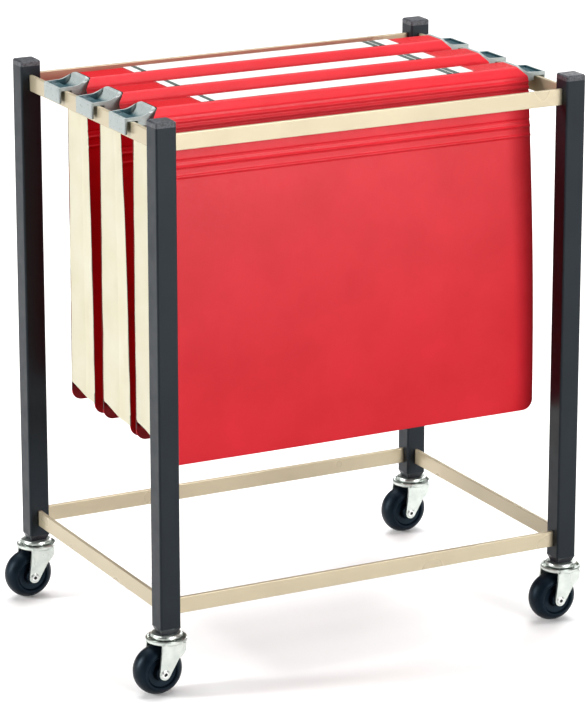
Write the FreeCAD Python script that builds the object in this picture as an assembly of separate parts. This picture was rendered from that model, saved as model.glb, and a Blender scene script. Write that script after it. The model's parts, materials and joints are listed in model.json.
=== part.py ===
"""Hanging file rack on casters, with three suspension files.

Millimetres. +X runs to the right along the long rails, +Y to the rear and +Z up.
The origin is on the floor, at the middle of the footprint with every caster trailing to the left.
"""
import FreeCAD, Part
import math
import os

V = FreeCAD.Vector

# Frame
POST_SPACING_X = 330.0      # centre to centre, the standard rail spacing for A4 suspension files
POST_SPACING_Y = 230.0
POST_SIDE = 16.0
POST_WALL = 1.2
POST_CORNER_RADIUS = 1.6
OVERALL_HEIGHT = 420.0
TUBE_BOTTOM = 50.0
CAP_HEAD = 4.0
CAP_CHAMFER = 1.0
CAP_PLUG_LENGTH = 11.0
RAIL_HEIGHT = 12.0
RAIL_THICKNESS = 3.0
RAIL_EDGE_RADIUS = 0.5
TOP_RAIL_DROP = 10.5        # upper edge of the top rails below the overall height
BOTTOM_RAIL_RISE = 8.0      # lower edge of the bottom rails above the tube's lower end
SLIP_GAP = 0.1              # each side, between a plastic insert and the tube around it

# Casters
WHEEL_RADIUS = 18.5
WHEEL_HALF_WIDTH = 9.0
TRAIL = 7.5                 # axle behind the swivel axis
NECK_HEIGHT = 4.7           # tapered neck of the insert below the tube
NECK_SIDE = 12.0
INSERT_LENGTH = 28.0        # of the insert inside the tube
PIN_RADIUS = 3.5
PIN_GRIP_LENGTH = 24.0      # of the king pin inside the insert
RACE_RADIUS = 11.5
CROWN_RADIUS = 15.0
CROWN_SHEET = 1.7
CROWN_UNDERSIDE = 39.4
BALL_RADIUS = 1.25
BALL_CIRCLE = 8.6
BALL_COUNT = 14
LEG_INSIDE = 12.0           # of a fork leg from the wheel's middle plane
LEG_END_RADIUS = 4.2
LEG_HALF_WIDTH = 9.2
AXLE_RADIUS = 2.5
AXLE_BORE = 1.3
RUNNING_GAP = 0.05

# Suspension files
FILE_PITCH = 56.0
FILE_SHIFT_X = 1.0          # play of the hooks on the rails, taken up to the right
SHEET = 0.8                 # cover board
PANEL_HALF_WIDTH = 152.5
FLAT_TOP = 417.2            # middle of the cover sheet in the flat label band
FLAT_FRONT = -12.0
FLAT_REAR = 8.9
HEM_DEPTH = 3.7
FRONT_FOLD_Y = -17.8
FRONT_FOLD_Z = 411.0
REAR_TOP_Y = 15.6
REAR_TOP_Z = 413.0
REAR_HEM_GAP = 1.6          # between the two layers that hold the rear bar
REAR_HEM_DEPTH = 11.0
REAR_BOTTOM_Y = 17.1
BASE_Z = 176.4
SKIRT_BOTTOM = 165.9
LAYER_STEP = 0.7            # doubled sheet: the layers are pressed together
CORNER_RADIUS = 8.0
GUSSET_SHEET = 0.8
GUSSET_TOP = 402.0
GUSSET_INSET = 0.6
SOFT_GAP = 0.35

HOOK_SPAN = 171.5           # outer face of a hook from the file's middle
HOOK_LENGTH = 24.5
HOOK_FRONT = -12.0
HOOK_REAR = 16.0
HOOK_UNDERSIDE = 404.4      # at the inner end
HOOK_HEEL = 406.4           # underside just inside the rail
LIP_BOTTOM = 400.5
LIP_THICKNESS = 1.6
NOTCH_END = 10.2
SEAT_GAP = 0.1
OUTER_RIM = 411.8
CURL_TOP = 417.9
RIM_CORNER = 413.3          # height of the curled end's two outer corners
TRAY_WALL = 2.0
TRAY_FLOOR = 410.4          # over the rail
TRAY_STEP = 11.0            # where the floor drops, just inside the rail
WELL_LOW = 407.8            # lowest line of the hollow behind it, which a thumb fits
WELL_RADIUS = 9.4

BAR_FRONT = -8.5
BAR_REAR = 8.0
BAR_BOTTOM = 415.0
BAR_TOP = 416.5
BAR_END = 149.2
LABEL_START = -111.0
LABEL_END = 110.0

# Each file: name, place along the rails, how far its front panel bulges, and how far that panel sags
FILES = (
    ("front", -FILE_PITCH, -32.6, 6.5),
    ("middle", 0.0, -30.6, 0.0),
    ("rear", FILE_PITCH, -24.6, 0.0),
)

# Worked out
FOOTPRINT_LEFT = TRAIL + WHEEL_RADIUS
FRAME_X = (FOOTPRINT_LEFT - CROWN_RADIUS) / 2
TUBE_TOP = OVERALL_HEIGHT - CAP_HEAD
TOP_RAIL_Z = OVERALL_HEIGHT - TOP_RAIL_DROP - RAIL_HEIGHT
BOTTOM_RAIL_Z = TUBE_BOTTOM + BOTTOM_RAIL_RISE
RAIL_TOP = TOP_RAIL_Z + RAIL_HEIGHT
PLATE_TOP = TUBE_BOTTOM - NECK_HEIGHT
INNER_SIDE = POST_SIDE - 2 * POST_WALL
CROWN_TOP = CROWN_UNDERSIDE + CROWN_SHEET
LEG_OUTSIDE = LEG_INSIDE + CROWN_SHEET
FILE_X = FRAME_X + FILE_SHIFT_X

POSTS = {
    "front_left": (-1, -1),
    "front_right": (1, -1),
    "rear_left": (-1, 1),
    "rear_right": (1, 1),
}


def post_centre(sign_x, sign_y):
    return FRAME_X + sign_x * POST_SPACING_X / 2, sign_y * POST_SPACING_Y / 2


def block(x_range, y_range, z_range):
    corner = V(x_range[0], y_range[0], z_range[0])
    return Part.makeBox(
        x_range[1] - x_range[0], y_range[1] - y_range[0], z_range[1] - z_range[0], corner)


def edges_along(shape, axis):
    """Straight edges parallel to an axis."""
    found = []
    for edge in shape.Edges:
        if isinstance(edge.Curve, Part.Line) and abs(edge.tangentAt(edge.FirstParameter).dot(axis)) > 0.999:
            found.append(edge)
    return found


def rounded_block(x_range, y_range, z_range, radius, axis=V(0, 0, 1)):
    solid = block(x_range, y_range, z_range)
    return solid.makeFillet(radius, edges_along(solid, axis))


def square_bar(centre, side, z_range, radius):
    x, y = centre
    half = side / 2
    return rounded_block((x - half, x + half), (y - half, y + half), z_range, radius)


def square_wire(centre, side, z):
    x, y = centre
    half = side / 2
    corners = [V(x - half, y - half, z), V(x + half, y - half, z),
               V(x + half, y + half, z), V(x - half, y + half, z)]
    return Part.makePolygon(corners + corners[:1])


def turned(profile, centre, axis):
    """Revolves (radius, height) points about an axis through centre; axis is +Y or +Z."""
    if axis.z > 0:
        points = [V(r, 0, h) for r, h in profile]
    else:
        points = [V(r, h, 0) for r, h in profile]
    face = Part.Face(Part.makePolygon(points + points[:1]))
    solid = face.revolve(V(0, 0, 0), axis, 360)
    solid.translate(centre)
    return Part.makeSolid(solid) if solid.ShapeType != "Solid" else solid


# ---------------------------------------------------------------- frame

def post(centre):
    tube = square_bar(centre, POST_SIDE, (TUBE_BOTTOM, TUBE_TOP), POST_CORNER_RADIUS)
    inner_radius = POST_CORNER_RADIUS - POST_WALL / 2
    return tube.cut(square_bar(centre, INNER_SIDE, (TUBE_BOTTOM, TUBE_TOP), inner_radius))


def cap(centre):
    head = square_bar(centre, POST_SIDE, (TUBE_TOP, OVERALL_HEIGHT), POST_CORNER_RADIUS)
    rim = [e for e in head.Edges if abs(e.BoundBox.ZMin - OVERALL_HEIGHT) < 1e-6]
    head = head.makeChamfer(CAP_CHAMFER, rim)
    plug_side = INNER_SIDE - 2 * SLIP_GAP
    plug_range = (TUBE_TOP - CAP_PLUG_LENGTH, TUBE_TOP)
    plug = square_bar(centre, plug_side, plug_range, 0.8)
    hollow = square_bar(centre, plug_side - 3.2, (plug_range[0], TUBE_TOP - 0.5), 0.5)
    return head.fuse(plug.cut(hollow)).removeSplitter()


def caster_insert(centre):
    """Plastic insert in the tube's lower end, with a tapered neck and a blind bore for the king pin."""
    neck = Part.makeLoft([square_wire(centre, NECK_SIDE, PLATE_TOP),
                          square_wire(centre, POST_SIDE, TUBE_BOTTOM)], True)
    neck = neck.makeFillet(1.2, [e for e in neck.Edges if e.BoundBox.ZLength > 1.0])
    body = square_bar(centre, INNER_SIDE - 2 * SLIP_GAP,
                      (TUBE_BOTTOM, TUBE_BOTTOM + INSERT_LENGTH), 0.8)
    bore = Part.makeCylinder(PIN_RADIUS, PIN_GRIP_LENGTH + NECK_HEIGHT, V(centre[0], centre[1], PLATE_TOP))
    return neck.fuse(body).cut(bore).removeSplitter()


def long_rail(sign_y, low_z):
    """Flat bar along X, welded between two posts."""
    x_half = (POST_SPACING_X - POST_SIDE) / 2
    y = sign_y * POST_SPACING_Y / 2
    return rounded_block((FRAME_X - x_half, FRAME_X + x_half),
                         (y - RAIL_THICKNESS / 2, y + RAIL_THICKNESS / 2),
                         (low_z, low_z + RAIL_HEIGHT), RAIL_EDGE_RADIUS, V(1, 0, 0))


def side_rail(sign_x, low_z):
    """Flat bar along Y; the upper pair carries the files' hooks."""
    y_half = (POST_SPACING_Y - POST_SIDE) / 2
    x = FRAME_X + sign_x * POST_SPACING_X / 2
    return rounded_block((x - RAIL_THICKNESS / 2, x + RAIL_THICKNESS / 2), (-y_half, y_half),
                         (low_z, low_z + RAIL_HEIGHT), RAIL_EDGE_RADIUS, V(0, 1, 0))


# ---------------------------------------------------------------- casters

def king_pin(centre):
    """Gripped in the insert above; its peened head carries the fork from below."""
    head_low = CROWN_UNDERSIDE - 1.7
    profile = [
        (0, head_low), (3.0, head_low), (4.4, head_low + 0.6), (4.8, CROWN_UNDERSIDE - RUNNING_GAP),
        (PIN_RADIUS - 0.4, CROWN_UNDERSIDE - RUNNING_GAP), (PIN_RADIUS - 0.4, PLATE_TOP - 1.4),
        (PIN_RADIUS, PLATE_TOP - 1.4), (PIN_RADIUS, TUBE_BOTTOM + PIN_GRIP_LENGTH - 2.6),
        (PIN_RADIUS - 1.2, TUBE_BOTTOM + PIN_GRIP_LENGTH - 0.4), (0, TUBE_BOTTOM + PIN_GRIP_LENGTH - 0.4),
    ]
    return turned(profile, V(centre[0], centre[1], 0), V(0, 0, 1))


def race_plate(centre):
    """Pressed upper race: a shallow cup, upside down, over the ring of balls."""
    roof = PLATE_TOP - 1.4
    profile = [
        (PIN_RADIUS, roof), (PIN_RADIUS, PLATE_TOP), (RACE_RADIUS - 1.1, PLATE_TOP),
        (RACE_RADIUS - 0.3, PLATE_TOP - 0.4), (RACE_RADIUS, PLATE_TOP - 1.2),
        (RACE_RADIUS, CROWN_TOP + 1.8), (RACE_RADIUS - 1.2, CROWN_TOP + 1.8), (RACE_RADIUS - 1.2, roof),
    ]
    return turned(profile, V(centre[0], centre[1], 0), V(0, 0, 1))


def ball_ring(centre):
    balls = []
    for i in range(BALL_COUNT):
        angle = 2 * math.pi * i / BALL_COUNT
        place = V(centre[0] + BALL_CIRCLE * math.cos(angle), centre[1] + BALL_CIRCLE * math.sin(angle),
                  CROWN_TOP + RUNNING_GAP + BALL_RADIUS)
        balls.append(Part.makeSphere(BALL_RADIUS, place))
    return balls


def fork_leg(side):
    """One leg about the swivel axis at x = 0, tapering to a round end at the axle; side is -1 or +1."""
    end = V(-TRAIL, 0, WHEEL_RADIUS)
    top = CROWN_UNDERSIDE + CROWN_SHEET / 2
    left_top = V(-LEG_HALF_WIDTH, 0, top)
    left_low = V(-TRAIL - LEG_END_RADIUS * 0.99, 0, WHEEL_RADIUS + 1.0)
    bottom = V(-TRAIL + 0.4, 0, WHEEL_RADIUS - LEG_END_RADIUS)
    right_low = V(-TRAIL + LEG_END_RADIUS * 0.88, 0, WHEEL_RADIUS - LEG_END_RADIUS * 0.42)
    knee = V(3.4, 0, 29.0)
    shoulder = V(LEG_HALF_WIDTH - 0.5, 0, 35.0)
    right_top = V(LEG_HALF_WIDTH, 0, top)
    outline = Part.Wire([
        Part.makeLine(left_top, left_low),
        Part.Arc(left_low, bottom, right_low).toShape(),
        Part.makeLine(right_low, knee),
        Part.Arc(knee, V(6.8, 0, 31.9), shoulder).toShape(),
        Part.makeLine(shoulder, right_top),
        Part.makeLine(right_top, left_top),
    ])
    leg = Part.Face(outline).extrude(V(0, CROWN_SHEET, 0))
    leg.translate(V(0, LEG_INSIDE if side > 0 else -LEG_OUTSIDE, 0))
    hole = Part.makeCylinder(AXLE_RADIUS, 3 * CROWN_SHEET, end + V(0, side * (LEG_INSIDE - 1), 0), V(0, side, 0))
    return leg.cut(hole)


def fork(centre):
    """Pressed crown with a raised rim and two legs."""
    rim_top = CROWN_TOP + 1.3
    profile = [
        (PIN_RADIUS - 0.4 + RUNNING_GAP, CROWN_UNDERSIDE), (CROWN_RADIUS - 0.7, CROWN_UNDERSIDE),
        (CROWN_RADIUS, CROWN_UNDERSIDE + 0.7), (CROWN_RADIUS, rim_top - 0.5),
        (CROWN_RADIUS - 0.5, rim_top), (CROWN_RADIUS - 1.2, rim_top),
        (CROWN_RADIUS - 1.6, rim_top - 0.4), (CROWN_RADIUS - 1.6, CROWN_TOP),
        (PIN_RADIUS - 0.4 + RUNNING_GAP, CROWN_TOP),
    ]
    crown = turned(profile, V(0, 0, 0), V(0, 0, 1))
    bridge = rounded_block((-LEG_HALF_WIDTH, LEG_HALF_WIDTH), (-LEG_OUTSIDE, LEG_OUTSIDE),
                           (CROWN_UNDERSIDE, CROWN_TOP), 3.0)
    core = Part.makeCylinder(CROWN_RADIUS - 1.0, 4 * CROWN_SHEET, V(0, 0, CROWN_UNDERSIDE - CROWN_SHEET))
    solid = crown.fuse([bridge.cut(core), fork_leg(-1), fork_leg(1)]).removeSplitter()
    solid.translate(V(centre[0], centre[1], 0))
    return solid


def axle(centre):
    """Hollow rivet through both legs, its ends rolled over."""
    end = LEG_OUTSIDE
    head = 0.8
    profile = [
        (AXLE_BORE, -end - head), (2.4, -end - head), (3.3, -end - 0.3), (3.3, -end), (AXLE_RADIUS, -end),
        (AXLE_RADIUS, end), (3.3, end), (3.3, end + 0.3), (2.4, end + head), (AXLE_BORE, end + head),
    ]
    return turned(profile, V(centre[0] - TRAIL, centre[1], WHEEL_RADIUS), V(0, 1, 0))


def wheel(centre):
    """Crowned tread, rounded shoulders, dished sides and a hub that reaches the legs."""
    hub_end = LEG_INSIDE - 0.2
    bore = AXLE_RADIUS + RUNNING_GAP
    tread = Part.Arc(V(14.6, -8.2, 0), V(WHEEL_RADIUS, 0, 0), V(14.6, 8.2, 0)).toShape()
    right = [V(14.6, 8.2, 0), V(13.2, WHEEL_HALF_WIDTH, 0), V(12.0, WHEEL_HALF_WIDTH, 0),
             V(10.9, 7.6, 0), V(6.4, 7.0, 0), V(5.4, hub_end, 0), V(bore, hub_end, 0)]
    left = [V(p.x, -p.y, 0) for p in reversed(right)]
    edges = [tread]
    for chain in (right, [right[-1], left[0]], left):
        for start, stop in zip(chain, chain[1:]):
            edges.append(Part.makeLine(start, stop))
    solid = Part.Face(Part.Wire(edges)).revolve(V(0, 0, 0), V(0, 1, 0), 360)
    solid.translate(V(centre[0] - TRAIL, centre[1], WHEEL_RADIUS))
    return solid


# ---------------------------------------------------------------- files

def line_at(z, low, high):
    """Y of a panel at height z, on the straight line from low (y, z) to high (y, z)."""
    share = (z - low[1]) / (high[1] - low[1])
    return low[0] + share * (high[0] - low[0])


def folded_sheet(path):
    """Sheet across the file's whole width, folded along (y, z) points, with round folds."""
    radius = SHEET / 2
    width = V(2 * PANEL_HALF_WIDTH, 0, 0)
    start = -PANEL_HALF_WIDTH
    pieces = []
    for (y0, z0), (y1, z1) in zip(path, path[1:]):
        length = math.hypot(y1 - y0, z1 - z0)
        side = V(0, -(z1 - z0) / length * radius, (y1 - y0) / length * radius)
        a, b = V(start, y0, z0), V(start, y1, z1)
        corners = [a + side, b + side, b - side, a - side]
        pieces.append(Part.Face(Part.makePolygon(corners + corners[:1])).extrude(width))
    for y, z in path:
        pieces.append(Part.makeCylinder(radius, width.x, V(start, y, z), V(1, 0, 0)))
    return pieces[0].fuse(pieces[1:]).removeSplitter()


def corner_cutter(side, y_range, low_z):
    """What rounds off a panel's lower corner at one end; side is -1 or +1."""
    edge = side * PANEL_HALF_WIDTH
    inner = edge - side * CORNER_RADIUS
    square = block((min(edge, inner) - 1 * (side < 0), max(edge, inner) + 1 * (side > 0)),
                   y_range, (low_z - 1, low_z + CORNER_RADIUS))
    disc = Part.makeCylinder(CORNER_RADIUS, y_range[1] - y_range[0] + 2,
                             V(inner, y_range[0] - 1, low_z + CORNER_RADIUS), V(0, 1, 0))
    return square.cut(disc)


def cover(bulge, sag):
    """One folded board: label band, shoulder, front panel, raised base and rear panel with its hem."""
    front_low = SKIRT_BOTTOM - sag
    front = (bulge + SHEET / 2, front_low)
    fold = (FRONT_FOLD_Y, FRONT_FOLD_Z)
    rear = (REAR_BOTTOM_Y, SKIRT_BOTTOM)
    rear_top = (REAR_TOP_Y, REAR_TOP_Z)
    path = [
        (FLAT_REAR, FLAT_TOP - HEM_DEPTH), (FLAT_REAR, FLAT_TOP), (FLAT_FRONT, FLAT_TOP), fold, front,
        (front[0] + LAYER_STEP, front_low), (line_at(BASE_Z, front, fold) + LAYER_STEP, BASE_Z),
        (line_at(BASE_Z, rear, rear_top) - LAYER_STEP, BASE_Z), (rear[0] - LAYER_STEP, SKIRT_BOTTOM),
        rear, rear_top, (REAR_TOP_Y - REAR_HEM_GAP, REAR_TOP_Z),
        (REAR_TOP_Y - REAR_HEM_GAP, REAR_TOP_Z - REAR_HEM_DEPTH),
    ]
    cuts = []
    middle = (bulge + REAR_BOTTOM_Y) / 2
    for side in (-1, 1):
        cuts.append(corner_cutter(side, (bulge - 2, middle), front_low - SHEET / 2))
        cuts.append(corner_cutter(side, (middle, REAR_BOTTOM_Y + 2), SKIRT_BOTTOM - SHEET / 2))
        near = HOOK_SPAN - HOOK_LENGTH - 0.2
        x_range = (near, PANEL_HALF_WIDTH + 1) if side > 0 else (-PANEL_HALF_WIDTH - 1, -near)
        cuts.append(block(x_range, (HOOK_FRONT - SOFT_GAP, REAR_TOP_Y + 2), (HOOK_UNDERSIDE - SOFT_GAP, 425)))
        ends = (PANEL_HALF_WIDTH - 3, PANEL_HALF_WIDTH + 1) if side > 0 else \
            (-PANEL_HALF_WIDTH - 1, -PANEL_HALF_WIDTH + 3)
        cuts.append(block(ends, (front[0] + 1.2, rear[0] - 1.2), (BASE_Z - 1, BASE_Z + 1)))
    return folded_sheet(path).cut(cuts).removeSplitter()


def gusset(side, bulge, sag):
    """Cloth end panel between the front and rear panels, in its flat state."""
    front = (bulge + SHEET / 2, SKIRT_BOTTOM - sag)
    fold = (FRONT_FOLD_Y, FRONT_FOLD_Z)
    rear = (REAR_BOTTOM_Y, SKIRT_BOTTOM)
    rear_top = (REAR_TOP_Y, REAR_TOP_Z)
    low = BASE_Z + SHEET / 2 + SOFT_GAP
    inset = SHEET / 2 + SOFT_GAP
    hem_low = REAR_TOP_Z - REAR_HEM_DEPTH - SHEET
    points = [
        V(0, line_at(low, front, fold) + inset + LAYER_STEP, low),
        V(0, line_at(low, rear, rear_top) - inset - LAYER_STEP, low),
        V(0, line_at(hem_low, rear, rear_top) - inset, hem_low - SOFT_GAP),
        V(0, REAR_TOP_Y - REAR_HEM_GAP - inset, hem_low - SOFT_GAP),
        V(0, REAR_TOP_Y - REAR_HEM_GAP - inset, GUSSET_TOP),
        V(0, line_at(GUSSET_TOP, front, fold) + inset, GUSSET_TOP),
    ]
    solid = Part.Face(Part.makePolygon(points + points[:1])).extrude(V(GUSSET_SHEET, 0, 0))
    start = PANEL_HALF_WIDTH - GUSSET_INSET - GUSSET_SHEET
    solid.translate(V(start if side > 0 else -start - GUSSET_SHEET, 0, 0))
    return solid


def hook_left():
    """Moulded end piece: a lip outside the rail, a seat under an open tray, and a curled end."""
    def at(inward, z):
        return V(-HOOK_SPAN + inward, HOOK_FRONT, z)

    seat = RAIL_TOP + SEAT_GAP
    rim_start = at(10.0, OUTER_RIM + 0.5)
    curl_start = at(HOOK_LENGTH - 2.1, CURL_TOP)
    outline = Part.Wire([
        Part.makeLine(at(0, LIP_BOTTOM), at(0, OUTER_RIM)),
        Part.makeLine(at(0, OUTER_RIM), rim_start),
        Part.Arc(rim_start, at(17.6, OUTER_RIM + 2.1), curl_start).toShape(),
        Part.makeLine(curl_start, at(HOOK_LENGTH - 1.1, CURL_TOP)),
        Part.makeLine(at(HOOK_LENGTH - 1.1, CURL_TOP), at(HOOK_LENGTH, CURL_TOP - 1.1)),
        Part.makeLine(at(HOOK_LENGTH, CURL_TOP - 1.1), at(HOOK_LENGTH, HOOK_UNDERSIDE)),
        Part.makeLine(at(HOOK_LENGTH, HOOK_UNDERSIDE), at(NOTCH_END, HOOK_HEEL)),
        Part.makeLine(at(NOTCH_END, HOOK_HEEL), at(NOTCH_END, seat)),
        Part.makeLine(at(NOTCH_END, seat), at(LIP_THICKNESS, seat)),
        Part.makeLine(at(LIP_THICKNESS, seat), at(LIP_THICKNESS, LIP_BOTTOM)),
        Part.makeLine(at(LIP_THICKNESS, LIP_BOTTOM), at(0, LIP_BOTTOM)),
    ])
    body = Part.Face(outline).extrude(V(0, HOOK_REAR - HOOK_FRONT, 0))
    end_profile = Part.Wire([
        Part.makeLine(V(-HOOK_SPAN, HOOK_FRONT, LIP_BOTTOM), V(-HOOK_SPAN, HOOK_FRONT, RIM_CORNER)),
        Part.Arc(V(-HOOK_SPAN, HOOK_FRONT, RIM_CORNER), V(-HOOK_SPAN, HOOK_FRONT + 1.1, CURL_TOP - 1.2),
                 V(-HOOK_SPAN, BAR_FRONT - 0.5, CURL_TOP)).toShape(),
        Part.makeLine(V(-HOOK_SPAN, BAR_FRONT - 0.5, CURL_TOP), V(-HOOK_SPAN, BAR_REAR + 0.5, CURL_TOP)),
        Part.Arc(V(-HOOK_SPAN, BAR_REAR + 0.5, CURL_TOP), V(-HOOK_SPAN, HOOK_REAR - 2.6, CURL_TOP - 1.5),
                 V(-HOOK_SPAN, HOOK_REAR, RIM_CORNER)).toShape(),
        Part.makeLine(V(-HOOK_SPAN, HOOK_REAR, RIM_CORNER), V(-HOOK_SPAN, HOOK_REAR, LIP_BOTTOM)),
        Part.makeLine(V(-HOOK_SPAN, HOOK_REAR, LIP_BOTTOM), V(-HOOK_SPAN, HOOK_FRONT, LIP_BOTTOM)),
    ])
    body = body.common(Part.Face(end_profile).extrude(V(HOOK_LENGTH, 0, 0)))
    outer_corners = [e for e in edges_along(body, V(0, 0, 1)) if abs(e.BoundBox.XMin + HOOK_SPAN) < 0.01]
    body = body.makeFillet(1.4, outer_corners)
    y_range = (HOOK_FRONT + TRAY_WALL, HOOK_REAR - TRAY_WALL)
    tray = rounded_block((-HOOK_SPAN + TRAY_WALL, -HOOK_SPAN + TRAY_STEP + 1.5), y_range,
                         (TRAY_FLOOR, CURL_TOP + 1), 1.2)
    well = Part.makeCylinder(WELL_RADIUS, y_range[1] - y_range[0],
                             V(-HOOK_SPAN + 12.0, y_range[0], WELL_LOW + WELL_RADIUS), V(0, 1, 0))
    well = well.common(block((-HOOK_SPAN + TRAY_STEP, -HOOK_SPAN + HOOK_LENGTH), (y_range[0] - 1, y_range[1] + 1),
                             (WELL_LOW - 1, CURL_TOP + 1)))
    inner_wall = -HOOK_SPAN + HOOK_LENGTH
    bar_socket = block((-BAR_END - SLIP_GAP, inner_wall + 1), (BAR_FRONT - SLIP_GAP, BAR_REAR + SLIP_GAP),
                       (BAR_BOTTOM - SLIP_GAP, BAR_TOP + SLIP_GAP))
    strip_slit = block((-BAR_END + 0.6 - SLIP_GAP, inner_wall + 1),
                       (REAR_TOP_Y - REAR_HEM_GAP + SHEET / 2 - SLIP_GAP, REAR_TOP_Y - SHEET / 2 + SLIP_GAP),
                       (HOOK_UNDERSIDE - 2, REAR_TOP_Z - 0.3))
    tongue = rounded_block((inner_wall - 1, inner_wall + 17.5), (-8.0, 5.0),
                           (BAR_BOTTOM - 2.7, BAR_BOTTOM - SLIP_GAP), 1.0, V(1, 0, 0))
    return body.cut([tray.fuse(well), bar_socket, strip_slit]).fuse(tongue).removeSplitter()


def hanger_bars():
    """Steel strip under the label band, and a slim one in the rear hem; both end in the hooks."""
    top = block((-BAR_END, BAR_END), (BAR_FRONT, BAR_REAR), (BAR_BOTTOM, BAR_TOP))
    rear_end = BAR_END - 0.6
    rear = block((-rear_end, rear_end),
                 (REAR_TOP_Y - REAR_HEM_GAP + SHEET / 2 + 0.05, REAR_TOP_Y - SHEET / 2 - 0.05),
                 (REAR_TOP_Z - REAR_HEM_DEPTH + 1.0, REAR_TOP_Z - 0.7))
    return [top, rear]


def label_card():
    low = FLAT_TOP + SHEET / 2 + 0.05
    return block((LABEL_START, LABEL_END), (FLAT_FRONT + 1.2, FLAT_REAR - 0.9), (low, low + 0.3))


def label_window():
    """Clear strip over the card, with a turned-down edge front and rear."""
    low = FLAT_TOP + SHEET / 2 + 0.05
    y_range = (FLAT_FRONT + 0.4, FLAT_REAR - 0.1)
    strip = block((LABEL_START - 2, LABEL_END + 2), y_range, (low, low + 0.85))
    return strip.cut(block((LABEL_START - 3, LABEL_END + 3), (y_range[0] + 0.6, y_range[1] - 0.6),
                           (low - 1, low + 0.35)))


# ---------------------------------------------------------------- output

def export(name, solids):
    if not isinstance(solids, list):
        solids = [solids]
    group = solids[0] if len(solids) == 1 else Part.makeCompound(solids)
    group.exportStep(f"parts/{name}.step")


def main():
    os.makedirs("parts", exist_ok=True)
    centres = {name: post_centre(*signs) for name, signs in POSTS.items()}
    for name, centre in centres.items():
        export(f"post_{name}", post(centre))
        export(f"cap_{name}", cap(centre))
        export(f"caster_insert_{name}", caster_insert(centre))
        export(f"caster_race_{name}", race_plate(centre))
        export(f"caster_fork_{name}", fork(centre))
        export(f"caster_axle_{name}", axle(centre))
        export(f"caster_wheel_{name}", wheel(centre))
    export("caster_king_pins", [king_pin(c) for c in centres.values()])
    export("caster_balls", [ball for c in centres.values() for ball in ball_ring(c)])

    for level, low_z in (("top", TOP_RAIL_Z), ("bottom", BOTTOM_RAIL_Z)):
        export(f"{level}_rail_front", long_rail(-1, low_z))
        export(f"{level}_rail_rear", long_rail(1, low_z))
        export(f"{level}_rail_left", side_rail(-1, low_z))
        export(f"{level}_rail_right", side_rail(1, low_z))

    for name, y, bulge, sag in FILES:
        left = hook_left()
        right = left.mirror(V(0, 0, 0), V(1, 0, 0))
        pieces = {
            "cover": cover(bulge, sag),
            "gussets": [gusset(-1, bulge, sag), gusset(1, bulge, sag)],
            "hook_left": left,
            "hook_right": right,
            "hanger_bars": hanger_bars(),
            "label_card": label_card(),
            "label_window": label_window(),
        }
        for piece, solids in pieces.items():
            placed = [s.translated(V(FILE_X, y, 0)) for s in (solids if isinstance(solids, list) else [solids])]
            export(f"file_{name}_{piece}", placed)


main()
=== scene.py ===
"""Looks of the hanging file rack: painted frame, zinc casters and three red suspension files."""
import json
import math
import bmesh
import bpy
import numpy as np
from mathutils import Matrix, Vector, noise


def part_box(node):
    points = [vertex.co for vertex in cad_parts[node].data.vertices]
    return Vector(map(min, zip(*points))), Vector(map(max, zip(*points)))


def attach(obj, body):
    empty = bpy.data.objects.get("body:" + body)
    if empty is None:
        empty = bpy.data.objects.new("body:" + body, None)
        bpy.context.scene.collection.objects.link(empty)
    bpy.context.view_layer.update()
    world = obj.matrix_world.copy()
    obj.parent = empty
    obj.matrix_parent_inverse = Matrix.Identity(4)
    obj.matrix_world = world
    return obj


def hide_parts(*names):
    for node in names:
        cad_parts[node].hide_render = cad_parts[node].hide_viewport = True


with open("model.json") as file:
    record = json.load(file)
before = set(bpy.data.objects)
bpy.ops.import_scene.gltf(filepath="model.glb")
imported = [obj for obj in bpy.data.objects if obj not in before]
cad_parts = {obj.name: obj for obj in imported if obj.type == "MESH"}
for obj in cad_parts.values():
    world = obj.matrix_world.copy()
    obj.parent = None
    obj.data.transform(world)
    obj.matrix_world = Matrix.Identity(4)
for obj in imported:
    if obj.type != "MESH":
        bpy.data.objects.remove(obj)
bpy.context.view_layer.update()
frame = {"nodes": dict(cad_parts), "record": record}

MM = 0.001
FILES = ("front", "middle", "rear")
SIDES = ("left", "right")

# A cover's section, close to the CAD model's: Y from the file's own zero and Z from the floor, in
# millimetres
SHEET = 0.8
PANEL_HALF_WIDTH = 152.5
BAND_HALF_WIDTH = 146.6
FLAT_TOP = 417.2
FLAT_FRONT = -12.0
FLAT_REAR = 8.9
HEM_DEPTH = 3.7
FRONT_FOLD = (-17.8, 411.0)
REAR_TOP = (15.6, 413.0)
REAR_HEM_GAP = 1.6
REAR_HEM_DEPTH = 11.0
REAR_BOTTOM_Y = 17.1
BASE_Z = 176.4
BASE_INSET = 3.0            # of the base's ends from the panels' ends
SKIRT_BOTTOM = 165.9
LAYER_STEP = 0.75           # between the layers of a doubled panel
FOLD_RADIUS = 0.35
CORNER_RADIUS = 8.0
CORNER_REACH = 24.0         # how far up the panel a round corner lifts its rows
HOOK_FRONT = -12.0
HOOK_UNDERSIDE = 404.1
FRONT_PANELS = {"front": (-32.6, 6.5), "middle": (-30.6, 0.0), "rear": (-24.6, 0.0)}  # lower Y, sag
# Scored lines across the front panel: height, how far each stands out, and width
SCORED_LINES = ((407.4, 0.9, 1.0), (403.4, 0.9, 1.0), (399.4, 0.8, 1.0),
                (379.5, -0.5, 0.8), (375.2, 0.75, 0.8), (368.2, 0.75, 0.8))
WAVE_DEPTH = 0.9            # soft waves of the panels
PANEL_CROWN = 0.5
BASE_SAG = 0.8

# The cloth gussets
GUSSET_TOP = 402.0
GUSSET_BOTTOM = BASE_Z - 3.0
GUSSET_GAP = 0.25           # between the cloth's edge and the board
GUSSET_CORNER_LIFT = 7.0    # of the rear half's lower edge
CLOTH_SHEET = 0.45

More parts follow.
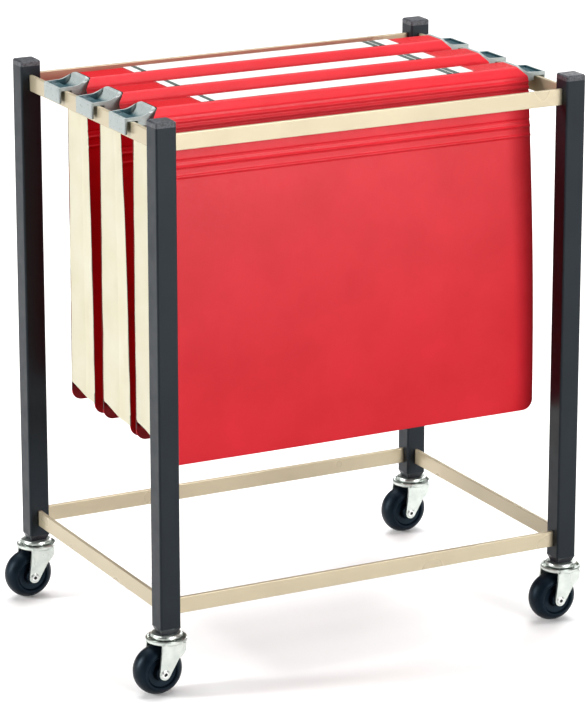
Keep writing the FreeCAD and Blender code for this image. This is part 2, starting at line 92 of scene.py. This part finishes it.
# Dark bars printed across a label card, from the file's middle
LABEL_BARS = ((-105.2, -101.2), (87.8, 92.6), (93.3, 98.4))


# ---------------------------------------------------------------- materials

def material(name, colour, roughness, metallic=0.0, **sockets):
    """A Principled material; what doesn't vary over the surface is set on the shader's own sockets."""
    mat = bpy.data.materials.new(name)
    mat.use_nodes = True
    shader = mat.node_tree.nodes["Principled BSDF"]
    shader.inputs["Base Color"].default_value = (*colour, 1)
    shader.inputs["Roughness"].default_value = roughness
    shader.inputs["Metallic"].default_value = metallic
    for socket, value in sockets.items():
        shader.inputs[socket.replace("_", " ")].default_value = value
    return mat


def node(mat, kind, **inputs):
    made = mat.node_tree.nodes.new(kind)
    for socket, value in inputs.items():
        made.inputs[socket.replace("_", " ")].default_value = value
    return made


def link(mat, source, target):
    mat.node_tree.links.new(source, target)


def shader_of(mat):
    return mat.node_tree.nodes["Principled BSDF"]


def place(mat, stretch=(1, 1, 1)):
    """Object coordinates, stretched so that a texture can run along one axis."""
    coords = mat.node_tree.nodes.new("ShaderNodeTexCoord")
    mapping = mat.node_tree.nodes.new("ShaderNodeMapping")
    mapping.inputs["Scale"].default_value = stretch
    link(mat, coords.outputs["Object"], mapping.inputs["Vector"])
    return mapping.outputs["Vector"]


def noise_value(mat, size, detail=3.0, stretch=(1, 1, 1), distortion=0.0):
    """Noise whose features are about size metres across."""
    made = node(mat, "ShaderNodeTexNoise", Scale=1 / size, Detail=detail, Distortion=distortion)
    link(mat, place(mat, stretch), made.inputs["Vector"])
    return made.outputs["Fac"]


def spread(mat, value, low, high, start=0.3, stop=0.7):
    """Maps a 0..1 value from start..stop to low..high."""
    made = node(mat, "ShaderNodeMapRange")
    made.inputs["From Min"].default_value = start
    made.inputs["From Max"].default_value = stop
    made.inputs["To Min"].default_value = low
    made.inputs["To Max"].default_value = high
    link(mat, value, made.inputs["Value"])
    return made.outputs["Result"]


def vary_colour(mat, value, dark, light, start=0.3, stop=0.7):
    ramp = mat.node_tree.nodes.new("ShaderNodeValToRGB")
    ramp.color_ramp.elements[0].position = start
    ramp.color_ramp.elements[1].position = stop
    ramp.color_ramp.elements[0].color = (*dark, 1)
    ramp.color_ramp.elements[1].color = (*light, 1)
    link(mat, value, ramp.inputs["Fac"])
    link(mat, ramp.outputs["Color"], shader_of(mat).inputs["Base Color"])
    return ramp


def vary_roughness(mat, value, low, high):
    link(mat, spread(mat, value, low, high), shader_of(mat).inputs["Roughness"])


def bump(mat, *layers):
    """Stacks (height, depth in metres, strength) layers into the shader's normal."""
    normal = None
    for height, depth, strength in layers:
        made = node(mat, "ShaderNodeBump", Strength=strength, Distance=depth)
        link(mat, height, made.inputs["Height"])
        if normal is not None:
            link(mat, normal, made.inputs["Normal"])
        normal = made.outputs["Normal"]
    link(mat, normal, shader_of(mat).inputs["Normal"])


def wave(mat, size, axis, distortion=0.0):
    """A sine along one axis, size metres from crest to crest."""
    made = node(mat, "ShaderNodeTexWave", Scale=math.pi / 10 / size, Distortion=distortion)
    made.bands_direction = axis
    made.inputs["Detail"].default_value = 1.0
    link(mat, place(mat), made.inputs["Vector"])
    return made.outputs["Fac"]


def maths(mat, operation, a, b):
    made = mat.node_tree.nodes.new("ShaderNodeMath")
    made.operation = operation
    for socket, value in zip(made.inputs, (a, b)):
        if isinstance(value, (int, float)):
            socket.default_value = value
        else:
            link(mat, value, socket)
    return made.outputs["Value"]


def make_post_paint():
    mat = material("post_paint", (0.014, 0.018, 0.023), 0.36, Specular_IOR_Level=0.20,
                   Specular_Tint=(0.82, 0.95, 1.0, 1))
    cloud = noise_value(mat, 0.05, detail=4)
    vary_colour(mat, cloud, (0.008, 0.010, 0.014), (0.012, 0.015, 0.020))
    vary_roughness(mat, noise_value(mat, 0.012, detail=5), 0.32, 0.44)
    bump(mat, (noise_value(mat, 0.0022, detail=2), 0.00006, 0.5))
    return mat


def make_cap_plastic():
    mat = material("cap_plastic", (0.02, 0.021, 0.024), 0.42)
    vary_colour(mat, noise_value(mat, 0.0016, detail=3), (0.004, 0.005, 0.007), (0.075, 0.080, 0.095))
    vary_roughness(mat, noise_value(mat, 0.003), 0.32, 0.55)
    bump(mat, (noise_value(mat, 0.0009, detail=3), 0.00018, 0.8))
    return mat


def make_insert_plastic():
    mat = material("insert_plastic", (0.012, 0.013, 0.018), 0.35)
    vary_colour(mat, noise_value(mat, 0.01, detail=3), (0.008, 0.009, 0.013), (0.018, 0.019, 0.026))
    vary_roughness(mat, noise_value(mat, 0.004), 0.28, 0.42)
    bump(mat, (noise_value(mat, 0.0012), 0.00006, 0.5))
    return mat


def make_rail_plate():
    mat = material("rail_plate", (0.62, 0.53, 0.37), 0.28, metallic=0.4)
    cloud = noise_value(mat, 0.04, detail=2)
    vary_colour(mat, cloud, (0.515, 0.44, 0.305), (0.585, 0.505, 0.345), 0.05, 0.95)
    satin = spread(mat, noise_value(mat, 0.04, detail=1), 0.24, 0.36, 0.05, 0.95)
    link(mat, satin, shader_of(mat).inputs["Roughness"])
    return mat


def make_zinc():
    mat = material("zinc_plate", (0.80, 0.83, 0.80), 0.28, metallic=1.0)
    vary_colour(mat, noise_value(mat, 0.006, detail=3), (0.48, 0.52, 0.49), (0.58, 0.62, 0.58))
    vary_roughness(mat, noise_value(mat, 0.003, detail=3, stretch=(1, 1, 0.2)), 0.26, 0.38)
    bump(mat, (noise_value(mat, 0.0016, detail=2, stretch=(1, 1, 0.25)), 0.00002, 0.4))
    return mat


def make_steel(name, colour, low, high):
    mat = material(name, colour, low, metallic=1.0)
    dark = tuple(c * 0.85 for c in colour)
    vary_colour(mat, noise_value(mat, 0.004, detail=4), dark, colour)
    vary_roughness(mat, noise_value(mat, 0.002, detail=3, stretch=(0.1, 1, 1)), low, high)
    return mat


def make_rubber():
    mat = material("wheel_rubber", (0.004, 0.007, 0.012), 0.42, Specular_IOR_Level=0.17,
                   Specular_Tint=(0.55, 0.8, 1.0, 1))
    vary_colour(mat, noise_value(mat, 0.008, detail=4), (0.0015, 0.003, 0.006), (0.003, 0.007, 0.013))
    vary_roughness(mat, noise_value(mat, 0.004, detail=4), 0.36, 0.52)
    bump(mat, (noise_value(mat, 0.0008, detail=3), 0.00006, 0.6))
    return mat


def make_cover_board(name, dark, light, gloss):
    """Red board with a fine woven grain."""
    mat = material(name, light, 0.46, Specular_IOR_Level=gloss)
    cloud = noise_value(mat, 0.05, detail=5)
    vary_colour(mat, cloud, dark, light)
    thread_x = wave(mat, 0.0011, "X", distortion=0.6)
    thread_z = wave(mat, 0.0011, "Z", distortion=0.6)
    weave = maths(mat, "MULTIPLY", thread_x, thread_z)
    grain = noise_value(mat, 0.0009, detail=2)
    vary_roughness(mat, noise_value(mat, 0.003, detail=3), 0.34, 0.46)
    bump(mat, (weave, 0.00008, 0.35), (grain, 0.00007, 0.35))
    return mat


# Near-black cut edges of the board: partly the board's own dark core, partly painted shade for the shadow
# lines along these edges
def make_board_edge_and_shade():
    mat = material("board_edge", (0.014, 0.015, 0.012), 0.7)
    vary_colour(mat, noise_value(mat, 0.0008, detail=3), (0.009, 0.009, 0.007), (0.022, 0.021, 0.017))
    bump(mat, (noise_value(mat, 0.0005, detail=2), 0.00008, 0.6))
    return mat


def make_gusset_cloth():
    mat = material("gusset_cloth", (0.88, 0.83, 0.62), 0.78, Sheen_Weight=0.25, Sheen_Roughness=0.5)
    vary_colour(mat, noise_value(mat, 0.03, detail=5), (0.85, 0.79, 0.58), (0.90, 0.86, 0.67))
    warp = wave(mat, 0.0007, "Y", distortion=0.5)
    weft = wave(mat, 0.0007, "Z", distortion=0.5)
    threads = maths(mat, "MAXIMUM", warp, weft)
    bump(mat, (threads, 0.00012, 0.6), (noise_value(mat, 0.0012), 0.00006, 0.5))
    return mat


def band(mat, value, low, high, soft_low, soft_high):
    """1 between low and high, falling to 0 over a soft distance on each side."""
    rise = spread(mat, value, 0.0, 1.0, low - soft_low, low)
    fall = spread(mat, value, 1.0, 0.0, high, high + soft_high)
    return maths(mat, "MULTIPLY", rise, fall)


# Where painted shade darkens the tray in the top of each hook, in metres
FILE_MIDDLE_X = 0.0065
FILE_PITCH = 0.056
TRAY_SHADE_ALONG = (0.1552, 0.1695)    # from the file's middle
TRAY_SHADE_ACROSS = (0.0179, 0.0421)   # within a pitch, where the file's own zero is half way
TRAY_SHADE_FADE = 0.0045               # towards the file
TRAY_SHADE_EDGE = 0.0004


def make_hook_plastic():
    """Grey moulding, with painted shade: a dark blue-green patch painted over the tray of each hook,
    standing in for the shade in the recess.
    """
    mat = material("hook_plastic", (0.40, 0.45, 0.44), 0.3, Coat_Weight=0.2, Coat_Roughness=0.1)
    split = mat.node_tree.nodes.new("ShaderNodeSeparateXYZ")
    link(mat, place(mat), split.inputs["Vector"])
    from_middle = maths(mat, "SUBTRACT", split.outputs["X"], FILE_MIDDLE_X)
    from_middle = maths(mat, "ABSOLUTE", from_middle, 0.0)
    along = band(mat, from_middle, *TRAY_SHADE_ALONG, TRAY_SHADE_FADE, TRAY_SHADE_EDGE)
    in_pitch = maths(mat, "ADD", split.outputs["Y"], 1.5 * FILE_PITCH)
    in_pitch = maths(mat, "MODULO", in_pitch, FILE_PITCH)
    across = band(mat, in_pitch, *TRAY_SHADE_ACROSS, TRAY_SHADE_EDGE, TRAY_SHADE_EDGE)
    # 1 over each hook's tray, where the painted shade replaces the grey
    painted_tray_shade = maths(mat, "MULTIPLY", along, across)
    outside_tray_shade = maths(mat, "SUBTRACT", 1.0, painted_tray_shade)
    grey_and_tray_shade = maths(mat, "MULTIPLY", noise_value(mat, 0.008, detail=4), outside_tray_shade)
    ramp = vary_colour(mat, grey_and_tray_shade, (0.35, 0.40, 0.39), (0.41, 0.46, 0.45))
    # the colour at 0 is the painted shade of the tray
    ramp.color_ramp.elements.new(0.0).color = (0.030, 0.085, 0.105, 1)
    vary_roughness(mat, noise_value(mat, 0.003, detail=3), 0.25, 0.38)
    bump(mat, (noise_value(mat, 0.0015, detail=2), 0.00004, 0.5))
    return mat


def make_label_paper():
    mat = material("label_paper", (0.88, 0.88, 0.85), 0.7)
    vary_colour(mat, noise_value(mat, 0.004, detail=6), (0.85, 0.85, 0.82), (0.90, 0.90, 0.87))
    bump(mat, (noise_value(mat, 0.0004, detail=3), 0.00003, 0.5))
    return mat


def make_label_ink():
    mat = material("label_ink", (0.02, 0.045, 0.035), 0.5)
    vary_colour(mat, noise_value(mat, 0.001, detail=4), (0.010, 0.035, 0.026), (0.022, 0.060, 0.046))
    return mat


def make_label_plastic():
    mat = material("label_plastic", (0.30, 0.31, 0.30), 0.1, Alpha=0.07)
    vary_roughness(mat, noise_value(mat, 0.01, detail=3), 0.06, 0.14)
    return mat


MATERIALS = {
    "post_paint": make_post_paint(),
    "cap_plastic": make_cap_plastic(),
    "insert_plastic": make_insert_plastic(),
    "rail_plate": make_rail_plate(),
    "zinc_plate": make_zinc(),
    "bearing_steel": make_steel("bearing_steel", (0.75, 0.75, 0.76), 0.1, 0.18),
    "rivet_steel": make_steel("rivet_steel", (0.70, 0.72, 0.70), 0.25, 0.4),
    "wheel_rubber": make_rubber(),
    "cover_board": make_cover_board("cover_board", (0.64, 0.007, 0.016), (0.74, 0.013, 0.027), 0.25),
    "gusset_cloth": make_gusset_cloth(),
    "hook_plastic": make_hook_plastic(),
    "bar_steel": make_steel("bar_steel", (0.55, 0.56, 0.56), 0.3, 0.45),
    "label_paper": make_label_paper(),
    "label_plastic": make_label_plastic(),
}
LABEL_INK = make_label_ink()
BOARD_EDGE_AND_SHADE = make_board_edge_and_shade()
# A darker, less glossy copy of the red board for the flat top band: painted shade, since the band is the
# same board as the rest of the cover
BAND_BOARD_PAINTED_SHADE = make_cover_board("band_board_painted_shade", (0.50, 0.003, 0.007), (0.57, 0.005, 0.012), 0.10)


def dress_cad_nodes():
    """Every CAD node takes the material of its own slot."""
    for part in frame["record"]["subparts"]:
        piece = frame["nodes"][part["node"]]
        for slot in piece.material_slots:
            slot.material = MATERIALS[part["material_slot"]]


# ---------------------------------------------------------------- mesh helpers

def mesh_object(name, vertices, faces, mats, smooth=True):
    mesh = bpy.data.meshes.new(name)
    mesh.from_pydata([tuple(v) for v in vertices], [], faces)
    mesh.validate()
    for mat in mats:
        mesh.materials.append(mat)
    if smooth:
        mesh.shade_smooth()
    made = bpy.data.objects.new(name, mesh)
    bpy.context.scene.collection.objects.link(made)
    return made


def apply_modifiers(piece):
    graph = bpy.context.evaluated_depsgraph_get()
    mesh = bpy.data.meshes.new_from_object(piece.evaluated_get(graph))
    piece.modifiers.clear()
    piece.data = mesh


def grid_faces(rows, columns):
    faces = []
    for r in range(rows - 1):
        for c in range(columns - 1):
            a = r * columns + c
            faces.append((a, a + 1, a + columns + 1, a + columns))
    return faces


# ---------------------------------------------------------------- files

def file_middle(name):
    """Middle plane of a file, from its two hooks: X of the middle and Y of the file's own zero."""
    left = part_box(f"file_{name}_hook_left")
    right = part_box(f"file_{name}_hook_right")
    return (left[0][0] + right[1][0]) / 2, left[0][1] - HOOK_FRONT * MM


def front_panel_y(z, low_y, low):
    """The front panel bows out below its fold and hangs nearly plumb at the bottom."""
    share = (FRONT_FOLD[1] - z) / (FRONT_FOLD[1] - low)
    return FRONT_FOLD[0] + (low_y + SHEET / 2 - FRONT_FOLD[0]) * (1 - (1 - share) ** 2)


def rear_panel_y(z):
    share = (REAR_TOP[1] - z) / (REAR_TOP[1] - SKIRT_BOTTOM)
    return REAR_TOP[0] + (REAR_BOTTOM_Y - REAR_TOP[0]) * share


def ridge(z):
    """How far the scored lines make the front panel stand out at height z, in millimetres."""
    out = 0.0
    for line, height, width in SCORED_LINES:
        out += height * math.exp(-((z - line) / width) ** 2)
    return out


def cover_path(low_y, sag):
    """(y, z, half width, part) points along the section, from the label band's hem to the rear hem."""
    low = SKIRT_BOTTOM - sag
    points = []
    for z in (FLAT_TOP - HEM_DEPTH, FLAT_TOP - HEM_DEPTH / 2, FLAT_TOP - 0.8):
        points.append((FLAT_REAR, z, BAND_HALF_WIDTH, "band"))
    points.append((FLAT_REAR - 0.25, FLAT_TOP - 0.25, BAND_HALF_WIDTH, "band"))
    for y in np.linspace(FLAT_REAR - 0.8, FLAT_FRONT + 0.8, 9):
        points.append((y, FLAT_TOP, BAND_HALF_WIDTH, "band"))
    # shoulder, from the band's front edge down to the fold
    for share in np.linspace(0.03, 0.93, 7):
        y = FLAT_FRONT + (FRONT_FOLD[0] - FLAT_FRONT) * share
        z = FLAT_TOP + (FRONT_FOLD[1] - FLAT_TOP) * share
        half = BAND_HALF_WIDTH + (PANEL_HALF_WIDTH - BAND_HALF_WIDTH) * share
        points.append((y, z, half, "shoulder"))
    # front panel, finer where it is scored
    scored = np.arange(410.4, 364.0, -0.4)
    plain = np.linspace(362.0, low + 1.2, 44)
    for z in list(scored) + list(plain):
        points.append((front_panel_y(z, low_y, low) - ridge(z), z, PANEL_HALF_WIDTH, "front"))
    bottom_y = front_panel_y(low, low_y, low)
    for angle in np.linspace(0, math.pi, 5):
        y = bottom_y + LAYER_STEP / 2 * (1 - math.cos(angle))
        z = low + FOLD_RADIUS - FOLD_RADIUS * math.sin(angle)
        points.append((y, z, PANEL_HALF_WIDTH, "front_turn"))
    inner = np.linspace(low + 1.5, BASE_Z - 0.4, 8)
    for z in inner:
        points.append((front_panel_y(z, low_y, low) + LAYER_STEP, z, PANEL_HALF_WIDTH, "front_skirt"))
    # base
    base_front = front_panel_y(BASE_Z, low_y, low) + LAYER_STEP
    base_rear = rear_panel_y(BASE_Z) - LAYER_STEP
    for share in np.linspace(0.01, 0.99, 14):
        y = base_front + (base_rear - base_front) * share
        points.append((y, BASE_Z, PANEL_HALF_WIDTH - BASE_INSET, "base"))
    # rear panel, up to its hem
    for z in inner[::-1]:
        z = SKIRT_BOTTOM + 1.5 + (z - low - 1.5) * (BASE_Z - 1.9 - SKIRT_BOTTOM) / (BASE_Z - 1.9 - low)
        points.append((rear_panel_y(z) - LAYER_STEP, z, PANEL_HALF_WIDTH, "rear_skirt"))
    for angle in np.linspace(0, math.pi, 5):
        y = REAR_BOTTOM_Y - LAYER_STEP / 2 * (1 + math.cos(angle))
        z = SKIRT_BOTTOM + FOLD_RADIUS - FOLD_RADIUS * math.sin(angle)
        points.append((y, z, PANEL_HALF_WIDTH, "rear_turn"))
    for z in np.linspace(SKIRT_BOTTOM + 1.2, HOOK_UNDERSIDE - 0.2, 46):
        points.append((rear_panel_y(z), z, PANEL_HALF_WIDTH, "rear"))
    for z in np.linspace(HOOK_UNDERSIDE + 0.1, REAR_TOP[1] - 0.5, 4):
        points.append((rear_panel_y(z), z, BAND_HALF_WIDTH, "hem"))
    for angle in np.linspace(0, math.pi, 5):
        y = REAR_TOP[0] - REAR_HEM_GAP / 2 * (1 - math.cos(angle))
        z = REAR_TOP[1] + FOLD_RADIUS * math.sin(angle)
        points.append((y, z, BAND_HALF_WIDTH, "hem"))
    for z in np.linspace(REAR_TOP[1] - 1.0, REAR_TOP[1] - REAR_HEM_DEPTH, 6):
        points.append((REAR_TOP[0] - REAR_HEM_GAP, z, BAND_HALF_WIDTH, "hem"))
    return points


def corner_lift(x, z, low):
    """How far a point rises so that the folded bottom edge follows a round corner."""
    inner = PANEL_HALF_WIDTH - CORNER_RADIUS
    over = max(abs(x) - inner, 0.0)
    rise = CORNER_RADIUS - math.sqrt(max(CORNER_RADIUS ** 2 - over ** 2, 0.0))
    share = max(0.0, 1 - (z - low) / CORNER_REACH)
    return rise * share ** 0.6


def cover_stations():
    """Where the section is repeated along the width, from -1 to 1: closer together at the corners."""
    from_end = np.linspace(0, 1, 9) ** 1.5 * CORNER_RADIUS * 1.4 / PANEL_HALF_WIDTH
    every = np.concatenate([np.linspace(-1, 1, 41), 1 - from_end, -1 + from_end])
    return sorted(set(np.round(every, 5)))


def make_cover(name, seed):
    """One stiff red board, folded along its section, with scored lines, soft waves and round corners."""
    low_y, sag = FRONT_PANELS[name]
    low = SKIRT_BOTTOM - sag
    mid_x, mid_y = file_middle(name)
    path = cover_path(low_y, sag)
    stations = cover_stations()
    vertices = []
    for y, z, half, part in path:
        for u in stations:
            x = u * half
            dy, dz = 0.0, 0.0
            if part.startswith(("front", "rear")):
                base = low if part.startswith("front") else SKIRT_BOTTOM
                dz = corner_lift(x, z, base)
                depth = min(1.0, max(0.0, (400.0 - z) / 160.0))
                soft = noise.noise(Vector((x * 0.008, z * 0.007, seed)))
                dy = WAVE_DEPTH * depth * soft
                if part.startswith("front"):
                    dy -= PANEL_CROWN * depth * (1 - u * u)
            elif part == "base":
                dz = -BASE_SAG * (1 - u * u)
            vertices.append((mid_x + x * MM, mid_y + (y + dy) * MM, (z + dz) * MM))
    faces = grid_faces(len(path), len(stations))
    # each board material is followed by the one that the solidified rim takes
    mats = [MATERIALS["cover_board"], BOARD_EDGE_AND_SHADE, BAND_BOARD_PAINTED_SHADE, BOARD_EDGE_AND_SHADE]
    cover = mesh_object(f"cover_{name}", vertices, faces, mats)
    for index, face in enumerate(cover.data.polygons):
        row = index // (len(stations) - 1)
        if path[row][3] == "band" and path[row + 1][3] == "band":
            # the flat top band takes the darker copy of the board, painted shade
            face.material_index = 2
    thick = cover.modifiers.new("board", "SOLIDIFY")
    thick.thickness = SHEET * 0.8 * MM
    thick.offset = 0
    # the rim takes the near-black edge material, partly painted shade
    thick.material_offset_rim = 1
    apply_modifiers(cover)
    cover.data.shade_smooth()
    set_sharp(cover, 40)
    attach(cover, f"file_{name}")
    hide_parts(f"file_{name}_cover")
    return cover


def set_sharp(piece, angle):
    """Keeps edges sharper than an angle crisp under smooth shading."""
    mesh = bmesh.new()
    mesh.from_mesh(piece.data)
    for edge in mesh.edges:
        if len(edge.link_faces) == 2 and edge.calc_face_angle() > math.radians(angle):
            edge.smooth = False
    mesh.to_mesh(piece.data)
    mesh.free()


def make_gusset(name, side, seed):
    """A cloth end between the panels: it bows inwards a little and carries a soft crease."""
    low_y, sag = FRONT_PANELS[name]
    low = SKIRT_BOTTOM - sag
    mid_x, mid_y = file_middle(name)
    sign = -1 if side == "left" else 1
    height = GUSSET_TOP - GUSSET_BOTTOM
    rows, columns = 72, 25
    vertices = []
    for z in np.linspace(GUSSET_BOTTOM, GUSSET_TOP, rows):
        front = front_panel_y(z, low_y, low) + SHEET / 2 + GUSSET_GAP
        rear = rear_panel_y(z) - SHEET / 2 - GUSSET_GAP
        if z > REAR_TOP[1] - REAR_HEM_DEPTH - 1.5:
            rear = REAR_TOP[0] - REAR_HEM_GAP - SHEET / 2 - GUSSET_GAP
        for share in np.linspace(0, 1, columns):
            y = front + (rear - front) * share
            sink = 0.25 + 1.9 * math.sin(math.pi * share) ** 0.8
            sink += 0.5 * math.exp(-((share - 0.5) / 0.05) ** 2)
            sink += 0.5 * noise.noise(Vector((y * 0.05, z * 0.02, seed)))
            sink += 0.25 * noise.noise(Vector((y * 0.14, z * 0.06, seed + 7.0)))
            lift = GUSSET_CORNER_LIFT * max(0.0, (share - 0.5) / 0.5) * (GUSSET_TOP - z) / height
            x = sign * (PANEL_HALF_WIDTH - sink)
            vertices.append((mid_x + x * MM, mid_y + y * MM, (z + lift) * MM))
    gusset = mesh_object(f"gusset_{name}_{side}", vertices, grid_faces(rows, columns),
                         [MATERIALS["gusset_cloth"]])
    thick = gusset.modifiers.new("cloth", "SOLIDIFY")
    thick.thickness = CLOTH_SHEET * MM
    thick.offset = 0
    apply_modifiers(gusset)
    gusset.data.shade_smooth()
    set_sharp(gusset, 50)
    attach(gusset, f"file_{name}")
    # the width at a given height follows the front panel's curve, so most of the cloth is near its widest
    return gusset


def make_label(name):
    """White card with dark printed bars, under its clear strip."""
    lo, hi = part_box(f"file_{name}_label_card")
    mid_x = file_middle(name)[0]
    cuts = [lo[0], *[mid_x + x * MM for bar in LABEL_BARS for x in bar], hi[0]]
    top, base = hi[2], lo[2]
    mesh = bmesh.new()
    for index, (start, stop) in enumerate(zip(cuts, cuts[1:])):
        corners = [mesh.verts.new((x, y, z)) for z in (base, top) for x, y in
                   ((start, lo[1]), (stop, lo[1]), (stop, hi[1]), (start, hi[1]))]
        for quad in ((3, 2, 1, 0), (4, 5, 6, 7), (0, 1, 5, 4), (2, 3, 7, 6), (1, 2, 6, 5), (3, 0, 4, 7)):
            face = mesh.faces.new([corners[i] for i in quad])
            face.material_index = index % 2
    bmesh.ops.remove_doubles(mesh, verts=mesh.verts, dist=1e-6)
    inside = [f for f in mesh.faces if abs(f.normal.x) > 0.9
              and lo[0] + 1e-5 < f.calc_center_median().x < hi[0] - 1e-5]
    bmesh.ops.delete(mesh, geom=inside, context="FACES_ONLY")
    data = bpy.data.meshes.new(f"label_{name}")
    mesh.to_mesh(data)
    mesh.free()
    data.materials.append(MATERIALS["label_paper"])
    data.materials.append(LABEL_INK)
    label = bpy.data.objects.new(f"label_{name}", data)
    bpy.context.scene.collection.objects.link(label)
    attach(label, f"file_{name}")
    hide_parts(f"file_{name}_label_card")


def make_files():
    for index, name in enumerate(FILES):
        make_cover(name, 3.7 + 11.0 * index)
        for side in SIDES:
            seed = 5.1 + 4.0 * index + 2.0 * (side == "right")
            make_gusset(name, side, seed)
        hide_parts(f"file_{name}_gussets")
        make_label(name)


# ---------------------------------------------------------------- studio

def make_floor():
    mesh = bpy.data.meshes.new("floor")
    reach = 14.0
    mesh.from_pydata([(-reach, -reach, 0), (reach, -reach, 0), (reach, reach, 0), (-reach, reach, 0)],
                     [], [(0, 1, 2, 3)])
    floor = bpy.data.objects.new("floor", mesh)
    bpy.context.scene.collection.objects.link(floor)
    mat = material("floor", (0.94, 0.94, 0.935), 0.75)
    vary_roughness(mat, noise_value(mat, 0.3), 0.7, 0.8)
    mesh.materials.append(mat)
    floor.visible_diffuse = False


def area_light(name, location, target, size, power):
    """A rectangular light that faces a point."""
    data = bpy.data.lights.new(name, "AREA")
    data.shape = "RECTANGLE"
    data.size, data.size_y = size
    data.energy = power
    light = bpy.data.objects.new(name, data)
    light.location = location
    light.rotation_mode = "QUATERNION"
    light.rotation_quaternion = (Vector(target) - Vector(location)).to_track_quat("-Z", "Y")
    bpy.context.scene.collection.objects.link(light)


def sun_light(name, direction, spread_angle, strength):
    """A broad, even light from far off, coming from a direction."""
    data = bpy.data.lights.new(name, "SUN")
    data.angle = math.radians(spread_angle)
    data.energy = strength
    light = bpy.data.objects.new(name, data)
    light.rotation_mode = "QUATERNION"
    light.rotation_quaternion = Vector(direction).to_track_quat("Z", "Y")
    bpy.context.scene.collection.objects.link(light)


# Area lights: name, place, size in metres and power in watts
AREA_LIGHTS = (
    ("overhead", (0.5, -0.45, 1.9), (0.8, 0.8), 9),
    ("back", (3.0, 2.4, 1.3), (1.8, 1.2), 75),
    ("left", (-3.2, 0.9, 1.25), (0.6, 1.8), 122),
    ("front", (1.25, -4.0, 1.15), (2.0, 1.2), 160),
)
LIT_POINT = (0, 0, 0.22)


def make_lights():
    world = bpy.data.worlds.new("studio")
    bpy.context.scene.world = world
    world.use_nodes = True
    background = world.node_tree.nodes["Background"]
    background.inputs["Color"].default_value = (0.97, 0.985, 1.0, 1)
    background.inputs["Strength"].default_value = 0.06
    sun_light("sky", (0.12, 0.42, 1.0), 60, 2.9)
    for name, place_at, size, power in AREA_LIGHTS:
        area_light(name, place_at, LIT_POINT, size, power)


# The camera looks at CAMERA_CENTRE from the left and above, then moves across its own view
CAMERA_YAW = 27.6
CAMERA_PITCH = 16.5
CAMERA_DISTANCE = 2.8
CAMERA_LENS = 187.0
CAMERA_CENTRE = (0.005, 0, 0.21)
AIM_RIGHT = -0.0012
AIM_UP = -0.014


def make_camera():
    yaw, pitch = math.radians(CAMERA_YAW), math.radians(CAMERA_PITCH)
    ahead = Vector((math.sin(yaw) * math.cos(pitch), math.cos(yaw) * math.cos(pitch), -math.sin(pitch)))
    right = Vector((math.cos(yaw), -math.sin(yaw), 0))
    up = right.cross(ahead)
    centre = Vector(CAMERA_CENTRE)
    data = bpy.data.cameras.new("camera")
    data.lens = CAMERA_LENS
    camera = bpy.data.objects.new("camera", data)
    camera.location = centre - ahead * CAMERA_DISTANCE + right * AIM_RIGHT + up * AIM_UP
    camera.rotation_mode = "QUATERNION"
    camera.rotation_quaternion = ahead.to_track_quat("-Z", "Y")
    bpy.context.scene.collection.objects.link(camera)
    bpy.context.scene.camera = camera


dress_cad_nodes()
make_files()
make_floor()
make_lights()
make_camera()
bpy.context.scene.view_settings.view_transform = "Standard"
